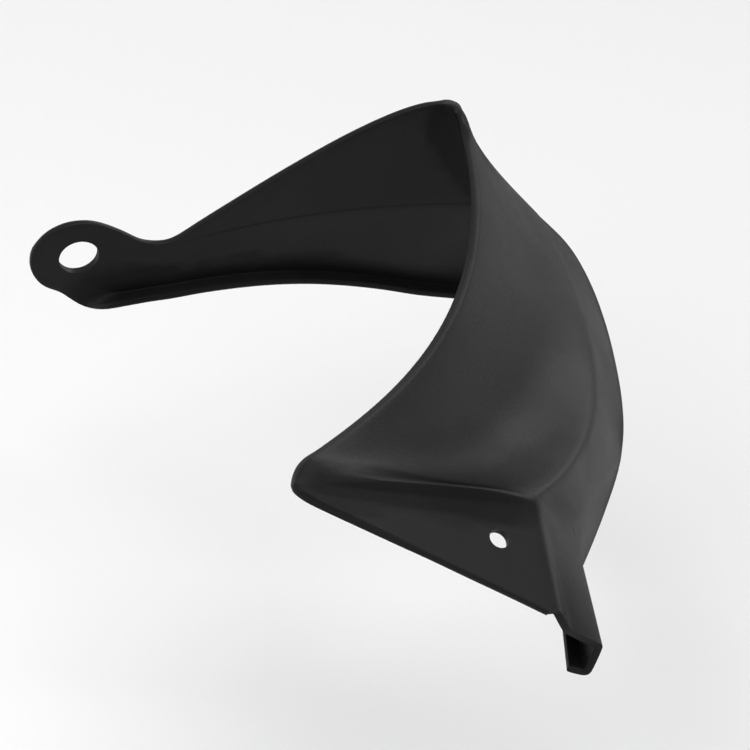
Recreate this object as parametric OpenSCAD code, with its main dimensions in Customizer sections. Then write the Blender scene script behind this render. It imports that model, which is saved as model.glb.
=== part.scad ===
// Left hand guard for a motorcycle handlebar, moulded in one piece.
// The origin is the centre of the bar end hole, on the face that seats on the bar end.
// X runs inboard along the bar, Y forward, Z up. All sizes are in millimetres.

/* [Overall reach] */
// Reach inboard of the plate's tip and the tail's cut end
tail_x = 212; // [202:0.5:222]
// Forward reach of the lower edge
foot_y = 176; // [166:0.5:186]
// Height of the peak
peak_z = 78; // [70:0.5:86]

/* [Moulded wall] */
// Thickness of the wall
wall_t = 2.5; // [2:0.1:3.2]
// Rounding of the free edges
edge_r = 0.8; // [0.4:0.1:0.9]
// Rounding length each side of the crease
crease_r = 2.2; // [1.2:0.1:2.6]
// Rounding length each side of the lower corner
foot_r = 3; // [2.6:0.1:4]
// Width of the return lip along the lower edge, over its outer face
lip_w = 7; // [6:0.25:9]

/* [Bar end ear] */
// Radius of the ear round the bar end hole
ear_r = 15.5; // [13:0.25:18]
// Width of the lip round the ear's far side
ear_lip = 6; // [5:0.25:7]
// Diameter of the bar end hole
bar_bore_d = 13; // [8:0.1:16]
// Height of the neck's upper edge over the hole's centre
neck_z = 9; // [6:0.5:11]
// Depth of the arm's lower edge under the hole's centre, behind the neck
arm_drop = 18.5; // [16:0.5:21]

/* [Side wall] */
// Height of the crease where the side wall ends
crease_z = 40; // [35:0.5:44]
// Height of the lower edge under the peak
foot_z = 1; // [-4:0.5:6]
// How far the lower edge stands outboard at the front
side_flare = 7; // [3:0.5:11]

/* [Front] */
// How far the lower edge stands forward of the crease
nose_d = 31.5; // [27:0.5:36]
// Depth of the hood, from the peak to the crease
hood_d = 47.5; // [42:0.5:53]
// Reach inboard of the outboard corner's rounding
turn_x = 14; // [11:0.5:17]
// Depth of the dish in the hood
dish_d = 8; // [4:0.5:10]
// Bulge of the band at the outboard corner
belly_d = 5; // [2:0.5:7]

/* [Inboard plate] */
// Width of the plate, from the ridge to the tail's cut end
plate_w = 37.5; // [32:0.5:44]
// How far the ridge's front end lies behind the foremost part of the crease
knee_d = 57.5; // [52:0.5:63]
// How far the ridge's rear end lies forward of the bar's axis
heel_y = 7.8; // [3:0.2:13]
// Height of the ridge's ends
ridge_z = 63.5; // [58:0.5:68]
// How far the ridge stands proud
ridge_h = 2; // [1:0.1:2.6]
// Fall of the plate from the ridge to its tip
plate_drop = 13; // [9:0.5:17]
// Diameter of the screw hole in the plate
plate_bore_d = 6.6; // [5:0.1:9]
// Distance of the screw hole from the ridge
hole_in = 15.3; // [12:0.1:19]
// Distance of the screw hole behind the ridge's front end
hole_back = 14.2; // [11:0.1:20]

/* [Tail channel] */
// Height of the step from the plate to the tail's ledge
step_h = 7; // [5:0.25:9]
// Width of the ledge
ledge_w = 13; // [10:0.5:16]
// Height of the tail's front wall
tail_h = 13.5; // [11:0.5:17]

/* [Hidden] */
$fn = 96;

// Places of the ridge, crease, peak and ridge's front end
ridge_x = tail_x - plate_w;
front_y = foot_y - nose_d;
peak_y = front_y - hood_d;
knee_y = front_y - knee_d;
// Height of the plate's tip and of the ledge below it
tip_z = ridge_z - plate_drop;
ledge_z = tip_z - step_h;

function mix(a, b, f) = a + (b - a) * f;
function unit(v) = v / norm(v);
function bez3(a, b, c, d, t) =
    a * pow(1 - t, 3) + b * 3 * t * pow(1 - t, 2) + c * 3 * t * t * (1 - t) + d * t * t * t;
function bez2(a, b, c, t) = a * pow(1 - t, 2) + b * 2 * t * (1 - t) + c * t * t;
// Smooth step from 0 at a to 1 at b
function ramp(a, b, x) = let (f = min(1, max(0, (x - a) / (b - a)))) f * f * (3 - 2 * f);

// Points of the side wall lie in its outer face
function side(y, z, out = 0) = [-wall_t - out, y, z];
function ear(angle) = side(-ear_r * cos(angle), ear_r * sin(angle) * (angle > 0 ? 0.9 : 1));

// Each key section: free edge, crease, point under the step, ledge edge, lower corner,
// and [dish, place of the dish, turn of the lip, lip width, softness of the band's bends]
function band_key(e, c, b, belly = [0, 0, 0], dish = 0, place = 1.25, turn = 1, w = lip_w,
        bend = 0.5, soft = 1) =
    let (m = mix(c, b, bend) + belly)
        [e, c, mix(c, m, 0.45) + 0.3 * soft * belly, m, b, [dish, place, turn, w, soft]];

// Ear and neck, where the lip lies flat and then turns inward
ear_in = ear_r - edge_r;
arm_y = ear_r + 13.5;
arm_top = side(arm_y, neck_z + 1.8);
arm_crease = side(arm_y + 2.5, neck_z + 1);
arm_foot = side(arm_y + 4, -arm_drop + 9);
ear_keys = [
    for (i = [0 : 3]) let (a = 30 * i, y = -(ear_r - 0.3) * cos(a))
        band_key(ear(a), side(y, 0.4 * i), side(y, (ear_lip - ear_in) * sin(a)),
            turn = 0, w = edge_r + ear_lip * sin(a)),
    band_key(side(ear_r - 8.5, ear_r - 2.7), side(ear_r - 8, 0.2 * neck_z),
        side(ear_r - 8.5, -arm_drop + 6.5), turn = 0.3),
    band_key(side(ear_r - 2.5, neck_z + 2), side(ear_r - 1.5, 0.33 * neck_z),
        side(ear_r - 2, -arm_drop + 4), turn = 0.7),
    band_key(side(ear_r + 3, neck_z), side(ear_r + 4.5, 0.5 * neck_z),
        side(ear_r + 4.5, -arm_drop + 4.2)),
    band_key(side(ear_r + 8.5, neck_z), side(ear_r + 10.5, neck_z - 2),
        side(ear_r + 11.5, -arm_drop + 7)),
    band_key(arm_top, arm_crease, arm_foot)
];

// Side wall up to the peak
function side_top(t) = bez3(arm_top,
    side(mix(arm_y, peak_y, 0.31), mix(neck_z, peak_z, 0.405)),
    side(mix(arm_y, peak_y, 0.75), peak_z - 3), side(peak_y, peak_z), t);
function side_crease(t) = bez2(arm_crease, side(mix(arm_y, front_y, 0.32), 0.75 * crease_z),
    side(front_y - 26.5, crease_z - 0.6), t);
function side_foot(t) = bez3(arm_foot, side(mix(arm_y, foot_y, 0.225), foot_z + 1, 0.15 * side_flare),
    side(mix(arm_y, foot_y, 0.38), foot_z + 2, 0.6 * side_flare),
    side(foot_y - 57, foot_z - 1.5, 0.85 * side_flare), t);
side_keys = [for (t = [0.08, 0.17, 0.33, 0.49, 0.64, 0.79, 0.91, 1])
    band_key(side_top(t), side_crease(t), side_foot(t))];

// Fold at the peak and outboard corner of the front
fold_dish = 0.275 * dish_d;
function corner_x(f) = mix(-wall_t, turn_x, f);
flare_x = -wall_t - side_flare;
corner_keys = [
    band_key([corner_x(0.01), peak_y + 5, peak_z + 0.3], side(front_y - 17.5, crease_z + 0.6),
        side(foot_y - 41, foot_z - 1.8, side_flare), belly_d * [-0.2, 0, 0.05], fold_dish, 0.6),
    band_key([corner_x(0.2), peak_y + 7.8, peak_z],
        [corner_x(0.04), front_y - 8, crease_z + 1.9],
        [flare_x, foot_y - 25, foot_z - 1], belly_d * [-0.5, 0.4, 0.3], fold_dish, 0.6),
    band_key([corner_x(0.455), peak_y + 8.6, peak_z - 0.5],
        [corner_x(0.3), front_y - 2.2, crease_z + 3.1],
        [flare_x + 5, foot_y - 10, foot_z + 1.5], belly_d * [-0.3, 0.7, 0.55], fold_dish, 0.6),
    band_key([corner_x(0.727), peak_y + 8.4, peak_z - 0.9],
        [corner_x(0.636), front_y - 0.4, crease_z + 4],
        [flare_x + 15, foot_y - 2.5, foot_z + 4.5], belly_d * [-0.1, 0.75, 0.65], fold_dish, 0.7)
];

// Hood and front band
function inboard(f) = mix(turn_x, ridge_x, f);
rim_a = [turn_x, peak_y + 8, peak_z - 1.3];
rim_d = [ridge_x - 6.5, heel_y + 4.7, ridge_z + 0.5];
crease_a = [turn_x, front_y, crease_z + 4.7];
crease_d = [ridge_x - 4.5, knee_y + 3.8, ridge_z - 1];
foot_a = [turn_x + 4, foot_y, foot_z + 7.5];
foot_d = [ridge_x - 14.5, knee_y + ledge_w + 22.3, ledge_z - tail_h - 8.3];
function rim(t) = bez3(rim_a, [inboard(0.38), peak_y + 3, peak_z - 5.5],
    [inboard(0.673), peak_y - 25, ridge_z + 2.5], rim_d, t);
function front_crease(t) = bez3(crease_a, [inboard(0.35), front_y + 4.5, crease_z + 5],
    [inboard(0.69), front_y - 8.5, crease_z + 11], crease_d, t);
function front_foot(t) = bez3(foot_a, [inboard(0.318), foot_y - 1, foot_z + 13],
    [inboard(0.567), foot_y - 21, foot_z + 16], foot_d, t);
// The band bends half way down outboard, near the foot in the middle and at the ledge inboard
function bend(t) = 0.5 + 0.32 * ramp(0.15, 0.5, t) - 0.41 * ramp(0.42, 0.92, t);
function belly(t) = mix(belly_d * [-0.1, 0.75, 0.65], [-1, 2.8, 0], ramp(0, 0.5, t))
    + [-1, 2.8, 0] * exp(-pow((t - 0.66) / 0.1, 2)) + [-2, 3.7, 0] * ramp(0.82, 1, t);
front_keys = [for (t = [0, 0.1, 0.21, 0.33, 0.45, 0.56, 0.66, 0.75, 0.83, 0.9, 0.955, 1])
    band_key(rim(t), front_crease(t), front_foot(t), belly(t),
        dish_d * (0.25 + 0.75 * ramp(0.1, 0.85, t)) * (1 - 0.83 * pow(max(0, t - 0.8) / 0.2, 2)),
        bend = bend(t), soft = 1 - 0.8 * ramp(0.3, 0.7, t))];

// Ridge, plate and tail
knee = [ridge_x, knee_y, ridge_z];
tip = [tail_x - 1.5, knee_y + 3, tip_z];
heel = [ridge_x + 6.5, heel_y + 3.4, ridge_z - 3];
edge_tip = [tail_x - 0.3, tip.y - 4, tip_z];
low_z = ledge_z - tail_h - 8;
function plate_key(t, e) = let (
    c = mix(knee, tip, t),
    s = mix(knee + [1.5, 4.5, -0.6 * step_h], tip + [0.5, 6, -step_h], t),
    m = mix([ridge_x - 7, knee.y + ledge_w + 9.8, ledge_z + 1.8],
        [tail_x, tip.y + ledge_w + 5.6, ledge_z - 3.6], pow(t, 0.85)),
    b = mix([ridge_x - 8.5, knee.y + ledge_w + 19.7, low_z],
        [tail_x, tip.y + ledge_w + 5.8, ledge_z - 3.6 - tail_h], pow(t, 0.75))
) [e, c, s, m, b, [0, 1.25, 1, lip_w + 0.7 * t, 0]];
plate_keys = [
    plate_key(0, [ridge_x + 0.5, heel_y, ridge_z - 1.2]),
    plate_key(0.1, [ridge_x + 4.3, heel_y, ridge_z - 2.3]),
    for (t = [0.24, 0.42, 0.61, 0.8, 1])
        plate_key(t, mix(heel, edge_tip, (t - 0.2) / 0.8))
];

keys = concat(ear_keys, side_keys, corner_keys, front_keys, plate_keys);
last_key = len(keys) - 1;
fold_u = len(ear_keys) + len(side_keys);
ridge_u = fold_u + len(corner_keys) + len(front_keys);

// Smooth curve through the key sections
pole_slope = [[0, 0, ear_r * PI / 6], [0, 0, 0], [0, 0, 0.23 * (ear_lip - ear_in) * PI / 6],
    [0, 0, 0.5 * (ear_lip - ear_in) * PI / 6], [0, 0, (ear_lip - ear_in) * PI / 6],
    [0, 0, 0, ear_lip * PI / 6, 0]];
function key_slope(k) = k == 0 ? pole_slope
    : k == last_key ? keys[last_key] - keys[last_key - 1]
    : (keys[k + 1] - keys[k - 1]) / 2;
function guides(u) = let (
    k = min(last_key - 1, floor(u)),
    t = u - k,
    a = keys[k], b = keys[k + 1], da = key_slope(k), db = key_slope(k + 1)
) a * (1 + 2 * t) * pow(1 - t, 2) + da * t * pow(1 - t, 2)
    + b * t * t * (3 - 2 * t) + db * t * t * (t - 1);

// Sections between the keys
function steps(k) = k < 3 ? 3 : k < 9 ? 2 : k < 16 ? 2 : k < ridge_u - 9 ? 3
    : k < ridge_u - 2 ? 2 : k < ridge_u + 2 ? 4 : 2;
stations = [for (k = [0 : last_key - 1]) for (i = [0 : steps(k) - 1]) k + i / steps(k), last_key];
n_st = len(stations);

// Rounded corner at q between p and r
function fillet(p, q, r, len_r, n) = let (a = q + unit(p - q) * len_r, b = q + unit(r - q) * len_r)
    [for (i = [0 : n]) bez2(a, q, b, i / n)];

n_hood = 7;
// Outer face of one section without the ridge, from the free edge to the end of the lip
function base_rows(u) = u == 0 ? [for (i = [0 : n_hood + 14]) side(-ear_r + 0.3, 0)] : let (
    g = guides(u), ga = guides(max(0, u - 0.02)), gb = guides(min(last_key, u + 0.02)),
    e = g[0], c = g[1], s = g[2], m = g[3], b = g[4],
    dish = g[5][0], place = g[5][1], turn = g[5][2], w = g[5][3], soft = g[5][4],
    te = unit(gb[0] - ga[0]), tb = unit(gb[4] - ga[4]),
    across = c - e,
    q = unit(across - te * (across * te)),
    e_in = e + q * edge_r,
    rc = min(crease_r, 0.4 * norm(c - e_in), 0.4 * norm(s - c)),
    c1 = c + unit(e_in - c) * rc,
    up = unit(cross(gb[1] - ga[1], across)),
    down = unit(b - m),
    inward = unit(cross(down, tb)),
    flat = unit([inward.x, inward.y, 0]),
    lip_dir = unit(mix(down, flat, turn)),
    l_in = b + lip_dir * (w - edge_r)
) concat(
    [for (i = [0 : n_hood - 1]) let (v = i / n_hood)
        mix(e_in, c1, v) - up * dish * sin(180 * pow(v, place))],
    fillet(e_in, c, s, rc, 3),
    fillet(c, s, m, min(mix(1.4, 0.4 * norm(m - s), soft), 0.4 * norm(s - c)), 2),
    fillet(s, m, b, mix(1.5, 0.45 * min(norm(b - m), norm(m - s)), soft), 2),
    fillet(m, b, l_in, min(foot_r, 0.45 * (w - edge_r), 0.45 * norm(b - m)), 3),
    [l_in]
);

base = [for (u = stations) base_rows(u)];
n_row = len(base[1]);

function slope_u(i, j) = base[min(n_st - 1, i + 1)][j] - base[max(0, i - 1)][j];
function slope_v(i, j, back = 1, on = 1) =
    base[i][min(n_row - 1, j + on)] - base[i][max(0, j - back)];
function normal(i, j, back = 1, on = 1) =
    i == 0 ? [-1, 0, 0] : unit(cross(slope_u(i, j), slope_v(i, j, back, on)));
normals = [for (i = [0 : n_st - 1]) [for (j = [0 : n_row - 1]) normal(i, j)]];

// The outer face, with the ridge raised from it, steep on the plate side
function ridge(d) = ridge_h * exp(-pow(d / (d > 0 ? 0.33 : 0.7), 2));
rows = [for (i = [0 : n_st - 1]) let (h = ridge(stations[i] - ridge_u))
    [for (j = [0 : n_row - 1]) base[i][j]
        + (j < n_hood ? normals[i][j] * h * ramp(0.02, 0.3, j / n_hood) : [0, 0, 0])]];

// The inner face turns each rounded corner, given by its first and last row, round a mitre
corners = [[n_hood, n_hood + 3], [n_hood + 4, n_hood + 6], [n_hood + 7, n_hood + 9],
    [n_hood + 10, n_hood + 13]];
function inner_corner(i, k) = let (
    j0 = corners[k][0], j1 = corners[k][1], q = guides(stations[i])[k + 1],
    a = base[i][j0], b = base[i][j1],
    n1 = normal(i, j0, 1, 0), n2 = normal(i, j1, 0, 1),
    q_in = q - (n1 + n2) * wall_t / (1 + n1 * n2),
    da = unit(a - q), db = unit(b - q),
    a_in = q_in + da * max(0.5 * min(0.6, norm(a - q)), (a - n1 * wall_t - q_in) * da),
    b_in = q_in + db * max(0.5 * min(0.6, norm(b - q)), (b - n2 * wall_t - q_in) * db)
) [for (m = [0 : j1 - j0]) bez2(a_in, q_in, b_in, m / (j1 - j0))];
function inner_rows(i) = let (
    turns = [for (k = [0 : 3]) each inner_corner(i, k)],
    push = turns[0] - base[i][n_hood] + normal(i, n_hood, 1, 0) * wall_t
) concat([for (j = [0 : n_hood - 1]) base[i][j] - normals[i][j] * wall_t + push * j / n_hood],
    turns, [base[i][n_row - 1] - normals[i][n_row - 1] * wall_t]);
inner_raw = [for (i = [0 : n_st - 1])
    i == 0 ? [for (j = [0 : n_row - 1]) base[0][0] + [wall_t, 0, 0]] : inner_rows(i)];

// Behind the fold and the ridge the inner face is eased over five sections
function eased(u) = (u > fold_u - 2.6 && u < fold_u + 3.2) || abs(u - ridge_u) < 2.2;
inner = [for (i = [0 : n_st - 1]) !eased(stations[i]) ? inner_raw[i]
    : (inner_raw[i - 2] + 2 * inner_raw[i - 1] + 3 * inner_raw[i] + 2 * inner_raw[i + 1]
        + inner_raw[i + 2]) / 9];

// Rounded free edge past row j of section i, as [offset through the wall, offset outward]
edge_form = [[0.3, 0.7], [1, 1]];
function edge_points(i, j, out) = let (
    o = base[i][j], n = normals[i][j], mid = o - n * wall_t / 2
) [for (f = edge_form) mid + n * (wall_t / 2 - edge_r * f[0]) + out * edge_r * f[1],
   for (k = [1 : -1 : 0]) let (f = edge_form[k])
        mid - n * (wall_t / 2 - edge_r * f[0]) + out * edge_r * f[1]];
function away(i, a, b) = i == 0 ? [0, -1, 0]
    : let (w = base[i][a] - base[i][b], t = unit(slope_u(i, a))) unit(w - t * (w * t));

// One closed ring of points for each section
function ring(i) = concat(
    rows[i],
    edge_points(i, n_row - 1, away(i, n_row - 1, n_row - 2)),
    [for (j = [n_row - 1 : -1 : 0]) inner[i][j]],
    let (p = edge_points(i, 0, away(i, 0, 1))) [for (k = [3 : -1 : 0]) p[k]]
);
n_ring = 2 * n_row + 8;
ring_points = [for (i = [0 : n_st - 1]) each ring(i)];

// At the ear's rear end the ring closes on itself, so its points are shared
function id(i, j) = i > 0 ? i * n_ring + j
    : j < n_row ? 0
    : j < n_row + 4 ? n_ring - 1 - (j - n_row)
    : j < 2 * n_row + 4 ? n_row + 4
    : j;
function tri(a, b, c) = a == b || b == c || c == a ? [] : [[a, b, c]];
skin_faces = [for (i = [0 : n_st - 2]) for (j = [0 : n_ring - 1]) let (
    k = (j + 1) % n_ring,
    a = id(i, j), b = id(i, k), c = id(i + 1, k), d = id(i + 1, j)
) each concat(tri(a, b, c), tri(a, c, d))];
cap_faces = let (z = n_st - 1, h = n_ring / 2) [for (j = [0 : h - 2]) let (
    a = id(z, (n_ring - 2 + j) % n_ring), b = id(z, (n_ring - 1 + j) % n_ring),
    c = id(z, n_ring - 4 - j), d = id(z, n_ring - 3 - j)
) each concat(tri(a, b, c), tri(a, c, d))];

// Screw hole in the plate: its place and the plate's slope there
plate_slope = atan2(plate_drop, tip.x - knee.x);
plate_hole = knee + [hole_in * cos(plate_slope), -hole_back, -hole_in * sin(plate_slope)];

module guard_shell() {
    color([0.13, 0.13, 0.135])
    difference() {
        polyhedron(points = ring_points, faces = concat(skin_faces, cap_faces), convexity = 8);
        rotate([0, 90, 0])
            cylinder(d = bar_bore_d, h = 6 * wall_t, center = true);
        translate(plate_hole)
            rotate([0, plate_slope, 0])
                cylinder(d = plate_bore_d, h = 6 * wall_t, center = true);
    }
}

guard_shell();
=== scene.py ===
import logging
import math
from dataclasses import dataclass, field
from enum import Enum
from typing import Any

import bmesh
import bpy
from mathutils import Matrix, Vector
from mathutils.kdtree import KDTree


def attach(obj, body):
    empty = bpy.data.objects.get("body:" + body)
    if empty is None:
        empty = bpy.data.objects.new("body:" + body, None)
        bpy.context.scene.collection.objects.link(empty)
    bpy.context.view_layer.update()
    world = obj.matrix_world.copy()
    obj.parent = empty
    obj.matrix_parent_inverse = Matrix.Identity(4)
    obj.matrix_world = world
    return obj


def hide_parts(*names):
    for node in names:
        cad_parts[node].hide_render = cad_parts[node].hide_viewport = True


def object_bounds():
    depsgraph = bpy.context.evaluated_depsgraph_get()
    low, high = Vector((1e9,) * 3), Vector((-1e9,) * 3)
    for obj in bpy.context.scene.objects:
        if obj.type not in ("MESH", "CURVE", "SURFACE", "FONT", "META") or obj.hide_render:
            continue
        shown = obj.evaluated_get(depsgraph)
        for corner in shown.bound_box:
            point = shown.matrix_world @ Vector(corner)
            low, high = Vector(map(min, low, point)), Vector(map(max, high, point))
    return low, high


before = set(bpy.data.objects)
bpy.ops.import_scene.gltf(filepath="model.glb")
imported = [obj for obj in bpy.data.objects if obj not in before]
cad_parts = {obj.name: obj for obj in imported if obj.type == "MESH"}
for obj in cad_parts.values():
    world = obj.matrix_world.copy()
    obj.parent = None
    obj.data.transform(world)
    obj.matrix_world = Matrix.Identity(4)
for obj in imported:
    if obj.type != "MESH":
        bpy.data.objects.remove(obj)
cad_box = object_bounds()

log = logging.getLogger("hand_guard")

MM = 0.001
# The shell's own attribute for the material: how much its face folds inward, where the material
# cuts the sheen as painted shade
FOLD = "fold"
# The guard's middle, which the lamps look at and the floor lies round
MIDDLE = (0.1, 0.08, 0.03)


class Operation(Enum):
    """What a math node does with its inputs."""

    MULTIPLY = "MULTIPLY"
    SUBTRACT = "SUBTRACT"
    ABSOLUTE = "ABSOLUTE"
    MAXIMUM = "MAXIMUM"
    MULTIPLY_ADD = "MULTIPLY_ADD"


def linear(hex_colour: str) -> tuple[float, float, float, float]:
    """Turns an sRGB colour into the linear one that a shader reads.

    Args:
        hex_colour: six hex digits, as in "1c1c1e".

    Returns:
        Red, green, blue and an alpha of 1.
    """
    parts = [int(hex_colour[i:i + 2], 16) / 255 for i in (0, 2, 4)]
    red, green, blue = [p / 12.92 if p <= 0.04045 else ((p + 0.055) / 1.055) ** 2.4 for p in parts]
    return red, green, blue, 1.0


def add_node(tree: bpy.types.NodeTree, kind: str, inputs: dict[str | int, Any] | None = None,
             **settings: Any) -> bpy.types.Node:
    """Adds a shader node with its settings, values and links.

    Args:
        tree: the material's or the world's nodes.
        kind: the node's type, as in "ShaderNodeBump".
        inputs: for each input by name or number, a value or an output to link.
        **settings: the node's own properties.

    Returns:
        The new node.
    """
    node = tree.nodes.new(kind)
    for name, value in settings.items():
        setattr(node, name, value.value if isinstance(value, Enum) else value)
    for key, value in (inputs or {}).items():
        if isinstance(value, bpy.types.NodeSocket):
            tree.links.new(value, node.inputs[key])
        else:
            node.inputs[key].default_value = value
    return node


@dataclass(frozen=True)
class SatinMouldedAbs:
    """Black ABS from a mould with a fine grain.

    The grain breaks up reflections, so the face looks satin, with a soft wide highlight. Colour
    and gloss drift slightly over the face.
    """

    name: str = "moulded_abs_satin_black"
    colour: str = "101011"
    colour_light: str = "161617"
    # Where in the cloud pattern the colour and the gloss begin and end to drift
    colour_range: tuple[float, float] = (0.35, 0.75)
    gloss_range: tuple[float, float] = (0.3, 0.7)
    ior: float = 1.53
    # The sheen is matched, well under the 0.5 of real ABS, and fades in flat views and
    # inner folds: it brings the tones near the real one's and isn't a known property of it
    sheen_ahead: float = 0.1
    sheen_flat: float = 0.003
    flat_range: tuple[float, float] = (0.5, 0.9)
    # Painted shade: in inner folds the sheen drops, so that the hollows render darker
    fold_range: tuple[float, float] = (0.25, 0.8)
    shaded_fold_sheen: float = 0.45
    roughness: float = 0.36
    roughness_spread: float = 0.05
    # Mould grain is nearer 0.1 mm: it is drawn coarser so that it shows
    grain_mm: float = 0.55
    grain_depth_mm: float = 0.09
    cloud_mm: float = 38.0
    ripple_mm: float = 9.0
    ripple_depth_mm: float = 0.02
    # The dark line of painted shade along the side wall's inner crease: its z as a cubic in y, in
    # mm, highest power first
    line_curve: tuple[float, ...] = (5.147e-6, -3.496e-3, 0.7617, -9.994)
    line_mm: float = 0.7
    # Along x and y the line comes in from the first number to the second, and goes from the
    # fourth to the third
    line_x_mm: tuple[float, ...] = (-1.2, -0.8, 8.0, 7.0)
    line_y_mm: tuple[float, ...] = (26.0, 48.0, 130.0, 128.0)
    # Near-black colour of the painted shade line along the inner crease
    crease_shade_colour: str = "050505"

    def paint_crease_shade(self, tree: bpy.types.NodeTree,
                  where: bpy.types.NodeSocket) -> bpy.types.NodeSocket:
        """Paints a fine dark line of shade where the side wall's two inner faces meet.

        Args:
            tree: the material's nodes.
            where: the object coordinates.

        Returns:
            1 on the line and 0 off it.
        """
        axes = add_node(tree, "ShaderNodeSeparateXYZ", {0: where})
        y_mm = add_node(tree, "ShaderNodeMath", {0: axes.outputs["Y"], 1: 1 / MM},
                        operation=Operation.MULTIPLY).outputs[0]
        height = self.line_curve[0]
        for term in self.line_curve[1:]:
            height = add_node(tree, "ShaderNodeMath", {0: height, 1: y_mm, 2: term},
                              operation=Operation.MULTIPLY_ADD).outputs[0]
        gap = add_node(tree, "ShaderNodeMath", {0: axes.outputs["Z"], 1: 1 / MM},
                       operation=Operation.MULTIPLY)
        gap = add_node(tree, "ShaderNodeMath", {0: gap.outputs[0], 1: height},
                       operation=Operation.SUBTRACT)
        gap = add_node(tree, "ShaderNodeMath", {0: gap.outputs[0]}, operation=Operation.ABSOLUTE)
        on_crease_shade = add_node(tree, "ShaderNodeMapRange", {
            "Value": gap.outputs[0], "From Min": self.line_mm / 2, "From Max": self.line_mm,
            "To Min": 1.0, "To Max": 0.0})
        for axis, limits in (("X", self.line_x_mm), ("Y", self.line_y_mm)):
            for start, end in (limits[:2], limits[2:]):
                inside = add_node(tree, "ShaderNodeMapRange", {
                    "Value": axes.outputs[axis], "From Min": start * MM, "From Max": end * MM})
                on_crease_shade = add_node(tree, "ShaderNodeMath", {
                    0: on_crease_shade.outputs[0], 1: inside.outputs[0]}, operation=Operation.MULTIPLY)
        return on_crease_shade.outputs[0]

    def material(self) -> bpy.types.Material:
        """Builds the plastic's shader.

        Returns:
            The material.
        """
        mat = bpy.data.materials.new(self.name)
        mat.use_nodes = True
        tree = mat.node_tree
        tree.nodes.clear()
        where = add_node(tree, "ShaderNodeTexCoord").outputs["Object"]
        grain = add_node(tree, "ShaderNodeTexNoise", {
            "Vector": where, "Scale": 1 / (self.grain_mm * MM), "Detail": 3.0, "Roughness": 0.6})
        ripple = add_node(tree, "ShaderNodeTexNoise", {
            "Vector": where, "Scale": 1 / (self.ripple_mm * MM), "Detail": 2.0})
        cloud = add_node(tree, "ShaderNodeTexNoise", {
            "Vector": where, "Scale": 1 / (self.cloud_mm * MM), "Detail": 4.0, "Roughness": 0.55})
        tint = add_node(tree, "ShaderNodeValToRGB", {"Fac": cloud.outputs["Fac"]})
        stops = zip(tint.color_ramp.elements, self.colour_range, (self.colour, self.colour_light))
        for stop, position, colour in stops:
            stop.position = position
            stop.color = linear(colour)
        gloss = add_node(tree, "ShaderNodeMapRange", {
            "Value": cloud.outputs["Fac"],
            "From Min": self.gloss_range[0], "From Max": self.gloss_range[1],
            "To Min": self.roughness + self.roughness_spread,
            "To Max": self.roughness - self.roughness_spread})
        line = self.paint_crease_shade(tree, where)
        low = add_node(tree, "ShaderNodeBump", {
            "Height": ripple.outputs["Fac"], "Strength": 1.0,
            "Distance": self.ripple_depth_mm * MM})
        bump = add_node(tree, "ShaderNodeBump", {
            "Height": grain.outputs["Fac"], "Strength": 1.0,
            "Distance": self.grain_depth_mm * MM, "Normal": low.outputs["Normal"]})
        # Painted shade: the base colour goes near black along the side wall's inner crease
        tint = add_node(tree, "ShaderNodeMix", {
            0: line, 6: tint.outputs["Color"], 7: linear(self.crease_shade_colour)}, data_type="RGBA")
        # Painted shade: the sheen is cut in inner folds, so that they render darker
        fold = add_node(tree, "ShaderNodeAttribute", attribute_name=FOLD)
        fold_shade = add_node(tree, "ShaderNodeMapRange", {
            "Value": fold.outputs["Fac"],
            "From Min": self.fold_range[0], "From Max": self.fold_range[1],
            "To Min": 1.0, "To Max": self.shaded_fold_sheen})
        facing = add_node(tree, "ShaderNodeLayerWeight", {"Blend": 0.5})
        sheen = add_node(tree, "ShaderNodeMapRange", {
            "Value": facing.outputs["Facing"],
            "From Min": self.flat_range[0], "From Max": self.flat_range[1],
            "To Min": self.sheen_ahead, "To Max": self.sheen_flat})
        sheen = add_node(tree, "ShaderNodeMath", {
            0: sheen.outputs["Result"], 1: fold_shade.outputs["Result"]}, operation=Operation.MULTIPLY)
        shader = add_node(tree, "ShaderNodeBsdfPrincipled", {
            "Base Color": tint.outputs[2], "Roughness": gloss.outputs["Result"],
            "IOR": self.ior, "Specular IOR Level": sheen.outputs[0],
            "Normal": bump.outputs["Normal"]})
        add_node(tree, "ShaderNodeOutputMaterial", {"Surface": shader.outputs["BSDF"]})
        return mat


@dataclass(frozen=True)
class MattPaper:
    """A pale paper floor: no gloss, white to the camera, with the guard's shadow on it."""

    name: str = "studio_paper"
    colour: str = "f6f6f6"

    def material(self) -> bpy.types.Material:
        """Builds the paper's shader.

        Returns:
            The material.
        """
        mat = bpy.data.materials.new(self.name)
        mat.use_nodes = True
        tree = mat.node_tree
        tree.nodes.clear()
        paper = add_node(tree, "ShaderNodeBsdfDiffuse", {"Color": linear(self.colour)})
        add_node(tree, "ShaderNodeOutputMaterial", {"Surface": paper.outputs[0]})
        return mat


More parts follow.
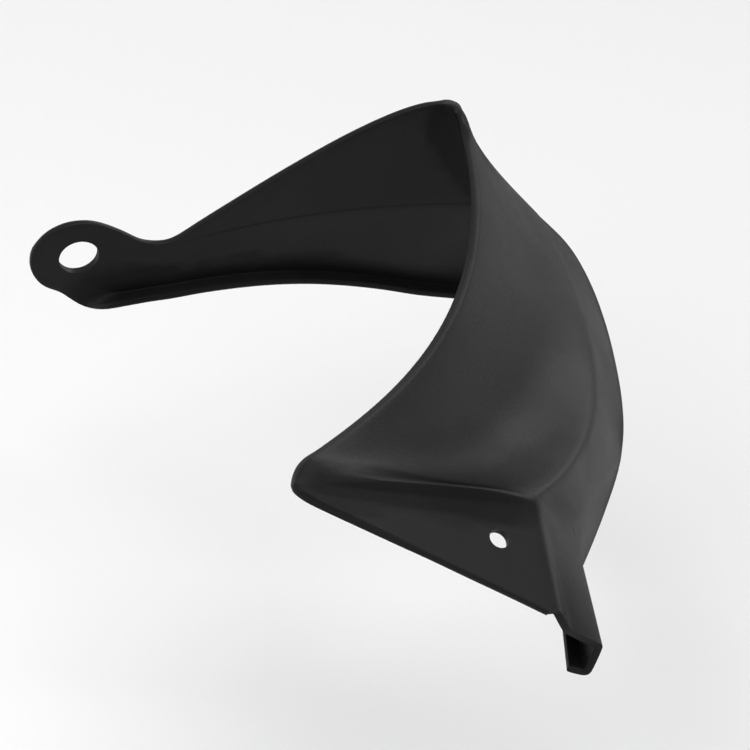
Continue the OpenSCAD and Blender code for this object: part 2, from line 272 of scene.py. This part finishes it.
@dataclass(frozen=True)
class SlantedEdge:
    """The free edge of hood and plate, whose cut face slants.

    The underside stands a little proud of the outer face, so the cut face looks upward and
    shows as a strip all along the edge. The points follow the edge from the peak to the tail.
    """

    points_mm: tuple[tuple[float, float, float], ...] = (
        (-2.5, 92.1, 76.4), (-2.4, 100.5, 78.0), (0.8, 104.8, 78.0), (9.5, 105.4, 77.1),
        (31.9, 102.8, 75.4), (50.7, 98.7, 73.8), (70.3, 92.2, 72.0), (89.0, 83.5, 70.3),
        (105.6, 73.5, 68.7), (120.2, 62.6, 67.3), (133.1, 51.4, 66.2), (144.4, 40.2, 65.4),
        (154.2, 29.4, 64.7), (161.8, 20.3, 64.3), (168.0, 12.5, 64.0), (172.0, 9.6, 63.3),
        (175.6, 7.9, 62.2), (178.8, 8.3, 61.2), (182.5, 14.9, 60.0), (189.4, 31.8, 57.8),
        (196.7, 49.5, 55.4), (204.0, 67.3, 53.0), (211.7, 86.0, 50.5))
    reach_mm: float = 3.7
    wall_mm: float = 2.5
    slant_mm: float = 2.0
    # How many faces near a point give the cut's direction there
    faces_round: int = 10
    # Between these two points of the edge the slant is full
    first_full: int = 3
    last_full: int = 18

    def nearest(self, point: Vector) -> tuple[float, float, Vector]:
        """Finds the place on the edge that lies nearest to a point.

        Args:
            point: the point, in metres.

        Returns:
            The distance, the place counted in points of the edge, and the edge's direction.
        """
        best = (math.inf, 0.0, Vector())
        corners = [Vector(p) * MM for p in self.points_mm]
        for k, (start, end) in enumerate(zip(corners, corners[1:])):
            span = end - start
            share = min(1.0, max(0.0, (point - start).dot(span) / span.length_squared))
            gap = (point - start - span * share).length
            if gap < best[0]:
                best = (gap, k + share, span.normalized())
        return best

    def weight(self, place: float) -> float:
        """Says how much of the slant a place takes: it fades at both ends of the edge.

        Args:
            place: the place, counted in points of the edge.

        Returns:
            A share from 0 to 1.
        """
        last = len(self.points_mm) - 1
        rise = min(1.0, place / self.first_full)
        fall = min(1.0, (last - place) / (last - self.last_full))
        return max(0.0, min(rise, fall))

    def apply(self, mesh: bmesh.types.BMesh) -> set[bmesh.types.BMVert]:
        """Slants the cut face by moving its lower corners outward.

        Args:
            mesh: the shell's skin.

        Returns:
            The points along the edge.
        """
        reach = self.reach_mm * MM
        near = {}
        for vert in mesh.verts:
            gap, place, along = self.nearest(vert.co)
            if gap < reach:
                near[vert] = (place, along)
        strip = [face for face in mesh.faces if all(vert in near for vert in face.verts)]
        tree = KDTree(len(strip))
        for k, face in enumerate(strip):
            tree.insert(face.calc_center_median(), k)
        tree.balance()
        moves = {}
        for vert, (place, along) in near.items():
            found = [(co, strip[k]) for co, k, _ in tree.find_n(vert.co, self.faces_round)]
            area = sum(face.calc_area() for _, face in found)
            centre = sum((co * face.calc_area() for co, face in found), Vector()) / area
            out = sum((face.normal * face.calc_area() for _, face in found), Vector())
            out = (out - along * out.dot(along)).normalized()
            skin = along.cross(out)
            if skin.z < 0:
                skin.negate()
            depth = 0.5 - (vert.co - centre).dot(skin) / (self.wall_mm * MM)
            moves[vert] = out * self.slant_mm * MM * self.weight(place) * min(1.0, max(0.0, depth))
        top = max(vert.co.z for vert in mesh.verts)
        for vert, move in moves.items():
            vert.co += move
            vert.co.z = min(vert.co.z, top)
        return set(moves)


@dataclass
class MouldedShell:
    """The guard's one moulding: ear, side wall, hood, front band, plate and tail."""

    node: str = "guard_shell"
    finish: SatinMouldedAbs = field(default_factory=SatinMouldedAbs)
    edge: SlantedEdge = field(default_factory=SlantedEdge)
    weld_mm: float = 0.002
    join_angle: float = math.radians(24)
    levels: int = 1
    sharp_angle: float = math.radians(40)
    rim_angle: float = math.radians(16)
    fold_reach_mm: float = 10.0
    # A fold counts for a point on its own side of the wall: two normals against the point's
    fold_facing: float = 1.0

    def merged_copy(self) -> bmesh.types.BMesh:
        """Copies the CAD shell's mesh and joins its loose triangles into one closed skin.

        Returns:
            The mesh, mostly in four-sided faces.
        """
        mesh = bmesh.new()
        mesh.from_mesh(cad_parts[self.node].data)
        bmesh.ops.remove_doubles(mesh, verts=mesh.verts, dist=self.weld_mm * MM)
        bmesh.ops.join_triangles(mesh, faces=mesh.faces, cmp_seam=False, cmp_sharp=False,
                                 angle_face_threshold=self.join_angle,
                                 angle_shape_threshold=math.radians(180))
        return mesh

    def mark_folds(self, mesh: bmesh.types.BMesh) -> None:
        """Keeps at each point how much the face folds inward round it, in radians.

        Args:
            mesh: the shell's skin.
        """
        mesh.normal_update()
        layer = mesh.verts.layers.float.new(FOLD)
        reach = self.fold_reach_mm * MM
        hollow = [edge for edge in mesh.edges
                  if len(edge.link_faces) == 2 and edge.calc_face_angle_signed() < 0]
        tree = KDTree(len(hollow))
        for k, edge in enumerate(hollow):
            tree.insert((edge.verts[0].co + edge.verts[1].co) / 2, k)
        tree.balance()
        for vert in mesh.verts:
            turn = 0.0
            for _, k, _ in tree.find_range(vert.co, reach):
                edge = hollow[k]
                facing = edge.link_faces[0].normal + edge.link_faces[1].normal
                if facing.dot(vert.normal) > self.fold_facing:
                    turn -= edge.calc_face_angle_signed() * edge.calc_length()
            vert[layer] = turn / (2 * reach)

    def build(self) -> bpy.types.Object:
        """Makes the smooth shell that stands for the CAD node.

        Returns:
            The shell.
        """
        skin = self.merged_copy()
        rim = self.edge.apply(skin)
        log.info("slanted edge: %d points", len(rim))
        self.mark_folds(skin)
        crease = skin.edges.layers.float.new("crease_edge")
        for edge in skin.edges:
            limit = self.rim_angle if rim.issuperset(edge.verts) else self.sharp_angle
            if len(edge.link_faces) == 2 and edge.calc_face_angle() > limit:
                edge[crease] = 1.0
                edge.smooth = False
        for face in skin.faces:
            face.smooth = True
        data = bpy.data.meshes.new("shell")
        skin.to_mesh(data)
        skin.free()
        shell = bpy.data.objects.new("shell", data)
        bpy.context.scene.collection.objects.link(shell)
        smooth = shell.modifiers.new("fine_surface", "SUBSURF")
        smooth.levels = smooth.render_levels = self.levels
        data.materials.append(self.finish.material())
        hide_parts(self.node)
        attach(shell, "root")
        return shell


@dataclass
class SoftBox:
    """One soft lamp that looks at the guard."""

    name: str
    place: tuple[float, float, float]
    size: tuple[float, float]
    power: float

    def build(self) -> bpy.types.Object:
        """Makes the lamp.

        Returns:
            The lamp.
        """
        lamp = bpy.data.lights.new(self.name, "AREA")
        lamp.shape = "RECTANGLE"
        lamp.size, lamp.size_y = self.size
        lamp.energy = self.power
        thing = bpy.data.objects.new(self.name, lamp)
        thing.location = self.place
        look = Vector(MIDDLE) - Vector(self.place)
        thing.rotation_euler = look.to_track_quat("-Z", "Y").to_euler()
        bpy.context.scene.collection.objects.link(thing)
        return thing


@dataclass
class Studio:
    """The floor, the lamps, the world and the camera."""

    paper: MattPaper = field(default_factory=MattPaper)
    floor_drop: float = 0.12
    floor_size: float = 3.0
    world_strength: float = 0.05
    lamps: list[SoftBox] = field(default_factory=lambda: [
        SoftBox("overhead", (0.1, 0.1, 2.0), (1.6, 1.6), 18.0),
        SoftBox("behind", (-1.6, 1.25, 1.3), (1.0, 0.6), 8.0),
        SoftBox("behind_low", (0.9, 2.0, 0.35), (1.4, 0.6), 30.0),
        SoftBox("beside_camera", (1.0, -1.5, 1.7), (1.2, 1.2), 50.0),
    ])
    to_camera: tuple[float, float, float] = (0.73, -0.373, 0.565)
    up: tuple[float, float, float] = (-0.64, -0.109, 0.754)
    distance: float = 3.0
    px_per_mm: float = 3.14
    origin_px: tuple[float, float] = (79.0, 257.4)
    image_px: int = 750
    sensor_mm: float = 36.0
    clip: tuple[float, float] = (0.1, 30.0)

    def build_floor(self) -> bpy.types.Object:
        """Lays the paper under the guard.

        Returns:
            The floor.
        """
        sheet = bmesh.new()
        bmesh.ops.create_grid(sheet, x_segments=1, y_segments=1, size=self.floor_size / 2)
        under = Vector((MIDDLE[0], MIDDLE[1], cad_box[0][2] - self.floor_drop))
        bmesh.ops.translate(sheet, verts=sheet.verts, vec=under)
        data = bpy.data.meshes.new("floor")
        sheet.to_mesh(data)
        sheet.free()
        data.materials.append(self.paper.material())
        floor = bpy.data.objects.new("floor", data)
        bpy.context.scene.collection.objects.link(floor)
        return floor

    def build_world(self) -> bpy.types.World:
        """Gives the world its dim light, and white to camera, glossy and transmission rays.

        Returns:
            The world.
        """
        world = bpy.data.worlds.new("studio")
        bpy.context.scene.world = world
        world.use_nodes = True
        tree = world.node_tree
        tree.nodes.clear()
        path = add_node(tree, "ShaderNodeLightPath")
        through = add_node(tree, "ShaderNodeMath", {
            0: path.outputs["Is Glossy Ray"], 1: path.outputs["Is Transmission Ray"]},
            operation=Operation.MAXIMUM)
        seen = add_node(tree, "ShaderNodeMath", {
            0: path.outputs["Is Camera Ray"], 1: through.outputs[0]}, operation=Operation.MAXIMUM)
        strength = add_node(tree, "ShaderNodeMapRange", {
            "Value": seen.outputs[0], "To Min": self.world_strength, "To Max": 1.0})
        room = add_node(tree, "ShaderNodeBackground", {
            "Color": linear("ffffff"), "Strength": strength.outputs["Result"]})
        add_node(tree, "ShaderNodeOutputWorld", {"Surface": room.outputs[0]})
        return world

    def build_camera(self) -> bpy.types.Object:
        """Sets the camera at the photograph's angle and framing.

        Returns:
            The camera.
        """
        toward = Vector(self.to_camera).normalized()
        up = Vector(self.up)
        up = (up - toward * up.dot(toward)).normalized()
        across = (self.image_px / 2 - self.origin_px[0]) / self.px_per_mm * MM
        rise = (self.origin_px[1] - self.image_px / 2) / self.px_per_mm * MM
        target = up.cross(toward) * across + up * rise
        cam = bpy.data.cameras.new("camera")
        cam.sensor_width = self.sensor_mm
        cam.lens = self.sensor_mm * self.px_per_mm * self.distance / MM / self.image_px
        cam.clip_start, cam.clip_end = self.clip
        thing = bpy.data.objects.new("camera", cam)
        thing.location = toward * self.distance
        back = (thing.location - target).normalized()
        right = up.cross(back).normalized()
        thing.rotation_euler = Matrix((right, back.cross(right), back)).transposed().to_euler()
        bpy.context.scene.collection.objects.link(thing)
        bpy.context.scene.camera = thing
        return thing

    def build(self) -> None:
        """Makes everything round the guard."""
        self.build_floor()
        self.build_world()
        for lamp in self.lamps:
            lamp.build()
        self.build_camera()
        bpy.context.scene.view_settings.view_transform = "Standard"


def main() -> None:
    """Builds the guard and its studio."""
    logging.basicConfig(level=logging.INFO, format="%(message)s")
    Studio().build()
    shell = MouldedShell().build()
    log.info("%s: %d faces before smoothing", shell.name, len(shell.data.polygons))
    bpy.context.view_layer.update()


if __name__ == "__main__":
    main()
